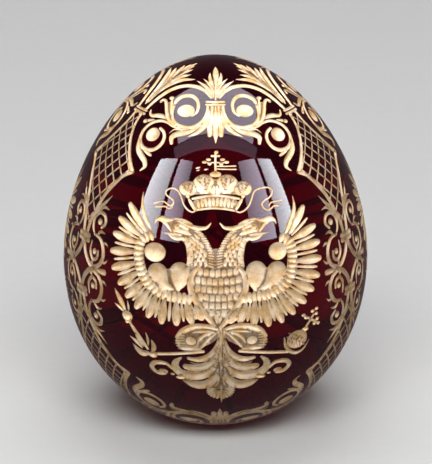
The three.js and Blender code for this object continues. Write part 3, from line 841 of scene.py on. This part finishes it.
def points_on_glass(survey):
    rows = np.arange(survey.y[0] + 1, SHEET_TOP - GLASS_CLEARANCE, GLASS_SPACING * 0.866)
    columns = np.linspace(-SIDE_AXIS, SIDE_AXIS, round(THIRD / GLASS_SPACING) + 1)[1:-1]
    shift = GLASS_SPACING / 4
    net = np.array([(x + shift * (-1) ** number, y) for number, y in enumerate(rows) for x in columns])
    return net[sampled(survey, survey.inside, net) < -GLASS_CLEARANCE]


def triangulated(cuts, survey):
    places, segments = meeting_lines(survey)
    chains = [thinned(chain, places) for chain in linked(segments, len(places))]
    used = sorted({corner for chain in chains for corner in chain})
    order = {corner: number for number, corner in enumerate(used)}
    edges = [(order[a], order[b]) for chain in chains for a, b in zip(chain, chain[1:])]
    bottom = survey.y[0]
    levels = np.arange(bottom + SEAM_SPACING, SHEET_TOP - SEAM_CLEARANCE, SEAM_SPACING)
    seam = [(side, y) for side in (-SIDE_AXIS, SIDE_AXIS) for y in levels]
    rims = [(x, y) for y in (bottom, SHEET_TOP) for x in np.linspace(-SIDE_AXIS, SIDE_AXIS, RIM_STEPS + 1)]
    corners = [(-SIDE_AXIS, bottom), (SIDE_AXIS, bottom), (SIDE_AXIS, SHEET_TOP), (-SIDE_AXIS, SHEET_TOP)]
    groups = [places[used], points_in_cuts(cuts, survey), points_on_glass(survey), seam, rims, corners]
    points = np.concatenate([np.array(group, float).reshape(-1, 2) for group in groups])
    last = len(points) - len(corners)
    edges += [(last + k, last + (k + 1) % 4) for k in range(4)]
    spots, _, faces, *_ = delaunay_2d_cdt(points.tolist(), edges, [], 0, 1e-5, False)
    return np.array([tuple(spot) for spot in spots]), np.array([tuple(face) for face in faces])


def faded_in(values, start, length):
    return np.clip((values - start) / length, 0, 1)


# Painted shade that browns the gold where cuts meet, at their rims, in lowered grounds, in the side columns,
# towards the bottom and in scored lines; also each spot's distance from the rim of a lined cut
def painted_shade_and_lines(cuts, survey, spots, depth, scale):
    inside = sampled(survey, survey.inside, spots)
    second = sampled(survey, np.maximum(survey.second, 0), spots)
    crease = np.clip(CREASE_START - (depth - second * scale) / CREASE_BAND, 0, 1)
    crease *= np.clip(second / CREASE_DEPTH, 0, 1)
    owner = nearest(survey, survey.label, spots)
    lowered = np.array([one.deep == GROUND for one in cuts] + [False])
    lined = [len(one.line) > 1 and NARROW_CUT < one.half.max() < BROAD_CUT for one in cuts]
    from_rim = np.where(np.array(lined + [False])[owner], np.maximum(inside, 0), 0)
    # Painted shade at the cuts' rims and in the creases where two cuts meet
    painted_shade = np.maximum(RIM_SHADE * np.clip(1 - inside / RIM_BAND, 0, 1), CREASE_SHADE * crease)
    # Painted shade over the whole of each lowered ground
    painted_shade[lowered[owner]] = GROUND_SHADE
    across, up = spots.T
    # Painted shade over the dimly lit side columns, and the gold painted darker towards the bottom
    columns = faded_in(np.abs(across), *COLUMN_SIDE) * faded_in(-np.abs(up - FRAME_MIDDLE), *COLUMN_END)
    low = faded_in(-up, *LOW_START)
    # Painted shade along the scored lines, which are also cut a little deeper
    score = np.clip(sampled(survey, survey.scratch, spots) / SCORED_BAND, 0, SCORED_SHADE)
    return np.maximum.reduce([painted_shade, COLUMN_SHADE * columns, LOW_SHADE * low, score]), from_rim


def cut_sheet():
    cuts = frame_cuts() + eagle_cuts()
    survey = survey_sheet(cuts, FOOT_SHEET)
    spots, faces = triangulated(cuts, survey)
    turn = np.interp(-spots[:, 1], -LEVELS, TURNS)
    scale = np.interp(turn, TURNS, RADII) / GIRTH_RADIUS
    around = (spots[:, 0] + LEAN * np.maximum(FRAME_MIDDLE - spots[:, 1], 0)) / GIRTH_RADIUS
    depth = np.maximum(sampled(survey, survey.depth, spots), 0) * scale
    # The painted shade over the gold, and each point's distance from its cut's rim for the wheel's lines
    painted_shade, from_rim = painted_shade_and_lines(cuts, survey, spots, depth, scale)
    gilded = sampled(survey, survey.inside, spots[faces].mean(1)) > 0
    depth[np.unique(faces[~gilded])] = 0
    spread = np.ones(len(spots))
    top = np.nonzero(spots[:, 1] > SHEET_TOP - 1e-4)[0]
    foot = np.nonzero(spots[:, 1] < FOOT_SHEET + 1e-4)[0]
    top, foot = (edge[np.argsort(spots[edge, 0])] for edge in (top, foot))
    caps = [(top, turn[top] * share, spread[top], 1) for share in np.linspace(1, 0, CAP_ROWS + 1)[1:]]
    caps += [(foot, turn[foot], share * spread[foot], -1) for share in (FOOT_RING, 0)]
    faces = faces.tolist()
    previous = {1: top, -1: foot}
    for edge, turns, spreads, way in caps:
        fresh = len(turn) + np.arange(len(edge))
        turn = np.concatenate([turn, turns])
        around = np.concatenate([around, around[edge]])
        spread = np.concatenate([spread, spreads])
        last = previous[way]
        for k in range(len(edge) - 1):
            quad = [last[k], last[k + 1], fresh[k + 1], fresh[k]]
            faces += [quad[:3][::way], [quad[0], quad[2], quad[3]][::way]]
        previous[way] = fresh
    bare = np.zeros(len(turn) - len(spots))
    values = {"turn": turn, "around": around, "spread": spread}
    for name, drawn in (("cut_depth", depth * MM), ("painted_shade", painted_shade), ("from_rim", from_rim * MM)):
        values[name] = np.concatenate([drawn, bare])
    gilded = np.concatenate([gilded, np.zeros(len(faces) - len(gilded), bool)])
    mesh = bpy.data.meshes.new("cut_sheet")
    mesh.from_pydata(np.column_stack([around, turn, spread]).tolist(), [], faces)
    for name, value in values.items():
        mesh.attributes.new(name, "FLOAT", "POINT").data.foreach_set("value", value.astype(np.float32))
    mesh.attributes.new("gilded", "BOOLEAN", "FACE").data.foreach_set("value", gilded)
    return mesh


# Nodes

def add(tree, kind, inputs=(), **settings):
    node = tree.nodes.new(kind)
    for name, value in settings.items():
        setattr(node, name, value)
    for key, value in dict(inputs).items():
        if isinstance(value, bpy.types.NodeSocket):
            tree.links.new(value, node.inputs[key])
        else:
            node.inputs[key].default_value = value
    return node


def linear(colour):
    shares = [int(colour[k:k + 2], 16) / 255 for k in (1, 3, 5)]
    return [((share + 0.055) / 1.055) ** 2.4 if share > 0.04045 else share / 12.92 for share in shares] + [1]


# Wraps the cut sheet round the egg, once for each medallion, and sinks the cuts into the glass

WRAP_STEPS = (
    ("cos turn", "COSINE", "turn"),
    ("sin turn", "SINE", "turn"),
    ("double turn", "MULTIPLY", "turn", 2.0),
    ("cos double turn", "COSINE", "double turn"),
    ("shoulder swell", "MULTIPLY", "cos double turn", "Full shoulders"),
    ("swell", "MULTIPLY_ADD", "cos turn", "Pointed top", "shoulder swell"),
    ("width", "MULTIPLY_ADD", "sin turn", "swell", "sin turn"),
    ("size", "DIVIDE", "Girth radius", "Girth width"),
    ("egg radius", "MULTIPLY", "width", "size"),
    ("radius", "MULTIPLY", "egg radius", "spread"),
    ("sin around", "SINE", "around"),
    ("cos around", "COSINE", "around"),
    ("x", "MULTIPLY", "radius", "sin around"),
    ("ahead", "MULTIPLY", "radius", "cos around"),
    ("y", "MULTIPLY", "ahead", -1.0),
    ("level", "MULTIPLY", "cos turn", "Half height"),
    ("z", "SUBTRACT", "level", "Foot height"),
    ("step", "DIVIDE", 2 * math.pi, "Medallions"),
    ("heading", "MULTIPLY", "number", "step"),
    ("inset", "MULTIPLY", "cut_depth", -1.0),
)


TREE_INPUTS = {
    "Sheet": "Geometry", "Girth radius": "Float", "Half height": "Float", "Foot height": "Float",
    "Pointed top": "Float", "Full shoulders": "Float", "Girth width": "Float", "Medallions": "Int",
    "Glass": "Material", "Gilding": "Material",
}


def egg_tree():
    tree = bpy.data.node_groups.new("wrap_cut_sheet_round_egg", "GeometryNodeTree")
    for name, kind in TREE_INPUTS.items():
        tree.interface.new_socket(name, in_out="INPUT", socket_type=f"NodeSocket{kind}")
    tree.interface.new_socket("Egg", in_out="OUTPUT", socket_type="NodeSocketGeometry")
    known = {socket.name: socket for socket in add(tree, "NodeGroupInput").outputs}
    known["number"] = add(tree, "GeometryNodeInputIndex").outputs[0]
    for name in ("turn", "around", "spread", "cut_depth"):
        known[name] = add(tree, "GeometryNodeInputNamedAttribute", {"Name": name}).outputs["Attribute"]
    for name, operation, *values in WRAP_STEPS:
        inputs = {place: known.get(value, value) for place, value in enumerate(values)}
        known[name] = add(tree, "ShaderNodeMath", inputs, operation=operation).outputs[0]
    place = add(tree, "ShaderNodeCombineXYZ", {"X": known["x"], "Y": known["y"], "Z": known["z"]})
    wrapped = add(tree, "GeometryNodeSetPosition", {
        "Geometry": known["Sheet"], "Position": place.outputs[0]})
    posts = add(tree, "GeometryNodePoints", {"Count": known["Medallions"], "Radius": 0.0})
    turned_by = add(tree, "ShaderNodeCombineXYZ", {"Z": known["heading"]})
    copies = add(tree, "GeometryNodeInstanceOnPoints", {
        "Points": posts.outputs[0], "Instance": wrapped.outputs[0], "Rotation": turned_by.outputs[0]})
    whole = add(tree, "GeometryNodeRealizeInstances", {"Geometry": copies.outputs[0]})
    welded = add(tree, "GeometryNodeMergeByDistance", {"Geometry": whole.outputs[0], "Distance": 2e-6})
    normal = add(tree, "GeometryNodeInputNormal")
    inward = add(tree, "ShaderNodeVectorMath", {0: normal.outputs[0], "Scale": known["inset"]},
                 operation="SCALE")
    sunk = add(tree, "GeometryNodeSetPosition", {"Geometry": welded.outputs[0], "Offset": inward.outputs[0]})
    glazed = add(tree, "GeometryNodeSetMaterial", {"Geometry": sunk.outputs[0], "Material": known["Glass"]})
    in_gold = add(tree, "GeometryNodeInputNamedAttribute", {"Name": "gilded"}, data_type="BOOLEAN")
    finished = add(tree, "GeometryNodeSetMaterial", {
        "Geometry": glazed.outputs[0], "Selection": in_gold.outputs["Attribute"],
        "Material": known["Gilding"]})
    add(tree, "NodeGroupOutput", {"Egg": finished.outputs[0]})
    return tree


def plain_mesh(sheet, tree, name, sizes):
    maker = bpy.data.objects.new(name, sheet)
    bpy.context.scene.collection.objects.link(maker)
    modifier = maker.modifiers.new("wrap", "NODES")
    modifier.node_group = tree
    for socket in tree.interface.items_tree:
        if socket.in_out == "INPUT" and socket.name in sizes:
            modifier[socket.identifier] = sizes[socket.name]
    graph = bpy.context.evaluated_depsgraph_get()
    mesh = bpy.data.meshes.new_from_object(maker.evaluated_get(graph), preserve_all_data_layers=True,
                                           depsgraph=graph)
    maker.modifiers.clear()
    maker.data = mesh
    bpy.data.meshes.remove(sheet)
    bpy.data.node_groups.remove(tree)
    return maker


# Materials

def bare_material(name):
    material = bpy.data.materials.new(name)
    material.use_nodes = True
    material.node_tree.nodes.clear()
    return material, material.node_tree


# Ruby glass, ground and polished: a deep red body that goes nearly black where it is thick, with a
# clear mirror-like face and a faint waviness left by the polishing wheel
def ruby_glass():
    material, tree = bare_material("ruby_glass_ground_and_polished")
    place = add(tree, "ShaderNodeTexCoord").outputs["Object"]
    waves = add(tree, "ShaderNodeTexNoise", {"Vector": place, "Scale": 1 / (14 * MM), "Detail": 0.0})
    bump = add(tree, "ShaderNodeBump", {"Height": waves.outputs[0], "Strength": 0.008, "Distance": 0.5 * MM})
    shader = add(tree, "ShaderNodeBsdfPrincipled", {
        "Base Color": linear("#9A1840"), "Roughness": 0.01, "IOR": 1.52, "Transmission Weight": 0.95,
        "Normal": bump.outputs[0]})
    tint = add(tree, "ShaderNodeVolumeAbsorption", {"Color": linear("#F0182E"), "Density": 170.0})
    add(tree, "ShaderNodeOutputMaterial", {"Surface": shader.outputs[0], "Volume": tint.outputs[0]})
    return material


# Gold rubbed into the matt wheel cuts: pale and dull where it lies thick, browned by painted shade where the
# cuts meet, at their rims, in lowered grounds, in the slender columns and low down. The wheel's lines show
# along cuts of middling width, drawn coarse
def gilding():
    material, tree = bare_material("matt_gilding_rubbed_into_wheel_cuts")
    place = add(tree, "ShaderNodeTexCoord").outputs["Object"]
    # The amount of painted shade that the sheet's points carry
    painted_shade = add(tree, "ShaderNodeAttribute", attribute_name="painted_shade").outputs["Fac"]
    cloud = add(tree, "ShaderNodeTexNoise", {"Vector": place, "Scale": 1 / (2.4 * MM), "Detail": 4.0})
    grit = add(tree, "ShaderNodeTexNoise", {"Vector": place, "Scale": 1 / (0.35 * MM), "Detail": 2.0})
    worn = add(tree, "ShaderNodeMix", {0: 0.25, 2: cloud.outputs[0], 3: grit.outputs[0]}, data_type="FLOAT")
    rubbed = add(tree, "ShaderNodeValToRGB", {"Fac": worn.outputs[0]})
    for element, position, colour in zip(rubbed.color_ramp.elements, (0.34, 0.62), ("#D6AC68", "#F4E1BE")):
        element.position = position
        element.color = linear(colour)
    shade_amount = add(tree, "ShaderNodeMapRange", {"Value": painted_shade, "From Min": 0.25, "To Max": 0.95}).outputs[0]
    from_rim = add(tree, "ShaderNodeAttribute", attribute_name="from_rim").outputs["Fac"]
    lines = add(tree, "ShaderNodeMath", {0: from_rim, 1: 0.38 * MM}, operation="PINGPONG").outputs[0]
    traced = add(tree, "ShaderNodeMapRange", {
        "Value": lines, "From Min": 0.28 * MM, "From Max": 0.38 * MM, "To Max": 0.42})
    darker = add(tree, "ShaderNodeMath", {0: shade_amount, 1: traced.outputs[0]}, operation="MAXIMUM").outputs[0]
    # The gold mixed towards brown #57310C by the painted shade and by the wheel's lines
    gold = add(tree, "ShaderNodeMix", {0: darker, 6: rubbed.outputs[0], 7: linear("#57310C")},
               data_type="RGBA")
    dull = add(tree, "ShaderNodeMapRange", {"Value": cloud.outputs[0], "To Min": 0.5, "To Max": 0.66})
    bump = add(tree, "ShaderNodeBump", {"Height": grit.outputs[0], "Strength": 0.4, "Distance": 0.08 * MM})
    shader = add(tree, "ShaderNodeBsdfPrincipled", {
        "Base Color": gold.outputs[2], "Metallic": 0.4, "Roughness": dull.outputs[0],
        "Normal": bump.outputs[0]})
    add(tree, "ShaderNodeOutputMaterial", {"Surface": shader.outputs[0]})
    return material


# Seamless studio paper: even, matt and pale, with only a breath of tooth
def studio_paper():
    material, tree = bare_material("studio_paper_matt")
    place = add(tree, "ShaderNodeTexCoord").outputs["Object"]
    tooth = add(tree, "ShaderNodeTexNoise", {"Vector": place, "Scale": 1 / (3 * MM), "Detail": 3.0})
    tone = add(tree, "ShaderNodeValToRGB", {"Fac": tooth.outputs[0]})
    tone.color_ramp.elements[0].color = linear("#CED1D0")
    tone.color_ramp.elements[1].color = linear("#D2D5D4")
    shader = add(tree, "ShaderNodeBsdfPrincipled", {"Base Color": tone.outputs[0], "Roughness": 0.85})
    add(tree, "ShaderNodeOutputMaterial", {"Surface": shader.outputs[0]})
    return material


# The egg

def read(items, name, size=1, kind=float):
    values = np.empty(size * len(items), kind)
    items.foreach_get(name, values)
    return values.reshape(-1, size) if size > 1 else values


FACES_DOWN = -0.985


# The glass shades by the normals of the true egg, so that its facets don't show. The foot keeps its own
def polish(mesh, glass):
    corner = read(mesh.loops, "vertex_index", kind=int)
    places = read(mesh.vertices, "co", 3) / MM
    shown = read(mesh.corner_normals, "vector", 3)
    turn = np.arccos(np.clip((places[:, 2] + FOOT_HEIGHT) / (BLANK_HEIGHT / 2), -1, 1))
    slope = np.interp(turn, TURNS, np.gradient(RADII, TURNS))
    fall = BLANK_HEIGHT / 2 * np.sin(turn)
    out = places[:, :2] / np.maximum(np.hypot(places[:, 0], places[:, 1]), 1e-6)[:, None]
    true = np.column_stack([out * fall[:, None], slope])
    true /= np.linalg.norm(true, axis=1)[:, None]
    on_side = glass & (shown[:, 2] > FACES_DOWN)
    shown[on_side] = true[corner[on_side]]
    mesh.normals_split_custom_set(shown)


def build_egg():
    sizes = {
        "Girth radius": GIRTH_RADIUS * MM,
        "Half height": BLANK_HEIGHT / 2 * MM,
        "Pointed top": POINTED_TOP,
        "Full shoulders": FULL_SHOULDERS,
        "Girth width": float(GIRTH_WIDTH),
        "Foot height": FOOT_HEIGHT * MM,
        "Medallions": MEDALLIONS,
        "Glass": ruby_glass(),
        "Gilding": gilding(),
    }
    egg = plain_mesh(cut_sheet(), egg_tree(), "engraved_egg", sizes)
    mesh = egg.data
    mesh.shade_smooth()
    mesh.materials.pop(index=0)
    edge_of_corner = read(mesh.loops, "edge_index", kind=int)
    sides = read(mesh.polygons, "loop_total", kind=int)
    gold = np.repeat(read(mesh.polygons, "material_index", kind=int), sides)
    rim = np.bincount(edge_of_corner, gold, len(mesh.edges)) == 1
    mesh.attributes.new("sharp_edge", "BOOLEAN", "EDGE").data.foreach_set("value", rim)
    polish(mesh, gold == 0)
    return egg


egg = build_egg()
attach(egg, "root")
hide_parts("egg")

# The studio: pale paper, two tall window lights in front, a soft light and a dim strip overhead, which the
# glass and gold mirror, and two fills that light the matt surfaces

FLOOR_SIDE = 6


def paper_floor():
    half = FLOOR_SIDE / 2
    mesh = bpy.data.meshes.new("paper_floor")
    mesh.from_pydata([(-half, -half, 0), (half, -half, 0), (half, half, 0), (-half, half, 0)], [],
                     [(0, 1, 2, 3)])
    mesh.materials.append(studio_paper())
    floor = bpy.data.objects.new("paper_floor", mesh)
    bpy.context.scene.collection.objects.link(floor)
    floor.visible_glossy = False
    return floor


paper_floor()

EGG_MIDDLE = Vector((0, 0, -FOOT_HEIGHT * MM))
FRONT_FILL = Vector((0, -1.0, 1.15))
DOWN = (0, 0, -1)
MIRRORED = {"diffuse": False}
UNSEEN = {"glossy": False, "transmission": False}


def panel(name, centre, facing, width, height, strength, colour, fade=(1, 1), **seen):
    lamp = bpy.data.lights.new(name, "AREA")
    lamp.shape = "RECTANGLE"
    lamp.size, lamp.size_y = width, height
    lamp.energy = strength * width * height * math.pi
    lamp.color = linear(colour)[:3]
    lamp.use_nodes = True
    lamp.node_tree.nodes.clear()
    spot = add(lamp.node_tree, "ShaderNodeNewGeometry").outputs["Parametric"]
    across = add(lamp.node_tree, "ShaderNodeSeparateXYZ", {0: spot}).outputs["X"]
    bright = add(lamp.node_tree, "ShaderNodeMapRange", {
        "Value": across, "To Min": fade[0], "To Max": fade[1]})
    glow = add(lamp.node_tree, "ShaderNodeEmission", {"Strength": bright.outputs[0]})
    add(lamp.node_tree, "ShaderNodeOutputLight", {"Surface": glow.outputs[0]})
    light = bpy.data.objects.new(name, lamp)
    light.location = centre
    light.rotation_euler = Vector(facing).to_track_quat("-Z", "Y").to_euler()
    for ray, counts in seen.items():
        setattr(light, f"visible_{ray}", counts)
    bpy.context.scene.collection.objects.link(light)
    return light


# A window light hangs in an upright plane ahead of the egg, in two panes with a dark bar between
WINDOW_AWAY = 0.8
WINDOW_AZIMUTH = 25
WINDOW_SILL = 0.205
WINDOW_HEAD = 1.13
WINDOW_NEAR, WINDOW_FAR = 0.04, 0.84
WINDOW_BAR = {-1: 0.35, 1: 0.45}
BAR_INNER, BAR_OUTER = 0.03, 0.04


def window_light(side):
    azimuth = math.radians(side * WINDOW_AZIMUTH)
    out = Vector((math.sin(azimuth), -math.cos(azimuth), 0))
    along = Vector((math.cos(azimuth), math.sin(azimuth), 0)) * side
    bar = WINDOW_BAR[side]
    panes = (("inner", WINDOW_NEAR, bar - BAR_INNER, 11, "#E4D9EE", 0.35),
             ("outer", bar + BAR_OUTER, WINDOW_FAR, 19, "#F1F4FC", 0.45))
    for name, near, far, strength, colour, dim in panes:
        middle = (near + far) / 2 * along + (WINDOW_SILL + WINDOW_HEAD) / 2 * Vector((0, 0, 1)) + out
        panel(f"{name}_pane", EGG_MIDDLE + WINDOW_AWAY * middle, -out, WINDOW_AWAY * (far - near),
              WINDOW_AWAY * (WINDOW_HEAD - WINDOW_SILL), strength, colour, (dim, 1)[::side], **MIRRORED)


window_light(-1)
window_light(1)
panel("overhead", (0, -0.06, 1.0), DOWN, 1.2, 0.74, 6.1, "#E6E0F2", **MIRRORED)
panel("soffit", (0, -0.53, 1.0), DOWN, 1.4, 0.18, 1.6, "#D8B4CC", **MIRRORED)
panel("fill", (0, 0.6, 2.4), DOWN, 1.6, 1.6, 3.5, "#FFFDFD", **UNSEEN)
panel("front_fill", FRONT_FILL, EGG_MIDDLE - FRONT_FILL, 1.2, 0.5, 11, "#FFFDFD", **UNSEEN)


# A dim room, a little paler low down behind the egg
def studio_room():
    world = bpy.data.worlds.new("studio")
    world.use_nodes = True
    tree = world.node_tree
    tree.nodes.clear()
    direction = add(tree, "ShaderNodeTexCoord").outputs["Generated"]
    paler = add(tree, "ShaderNodeVectorMath", {0: direction, 1: (0, 0.6, -0.8)}, operation="DOT_PRODUCT")
    glow = add(tree, "ShaderNodeMapRange", {
        "Value": paler.outputs["Value"], "From Min": -0.5, "From Max": 0.3, "To Min": 0.03, "To Max": 0.15})
    room = add(tree, "ShaderNodeBackground", {"Color": linear("#F2D4DC"), "Strength": glow.outputs[0]})
    add(tree, "ShaderNodeOutputWorld", {"Surface": room.outputs[0]})
    return world


bpy.context.scene.world = studio_room()

# The camera, from the photograph's angle
PHOTO_WIDTH, PHOTO_HEIGHT = 432, 464
ELEVATION = 19.44
CAMERA_AWAY = 0.75
FOCAL_PIXELS = 3038.6
EGG_PIXEL = (215.44, 239.7)
SENSOR = 36

lens = bpy.data.cameras.new("camera")
lens.sensor_width = SENSOR
lens.lens = FOCAL_PIXELS * SENSOR / PHOTO_HEIGHT
lens.shift_x = (PHOTO_WIDTH / 2 - EGG_PIXEL[0]) / PHOTO_HEIGHT
lens.shift_y = (EGG_PIXEL[1] - PHOTO_HEIGHT / 2) / PHOTO_HEIGHT
lens.clip_start = 0.01
camera = bpy.data.objects.new("camera", lens)
rise = math.radians(ELEVATION)
camera.location = EGG_MIDDLE + CAMERA_AWAY * Vector((0, -math.cos(rise), math.sin(rise)))
camera.rotation_euler = (EGG_MIDDLE - camera.location).to_track_quat("-Z", "Y").to_euler()
bpy.context.scene.collection.objects.link(camera)
bpy.context.scene.camera = camera
bpy.context.scene.view_settings.view_transform = "Standard"
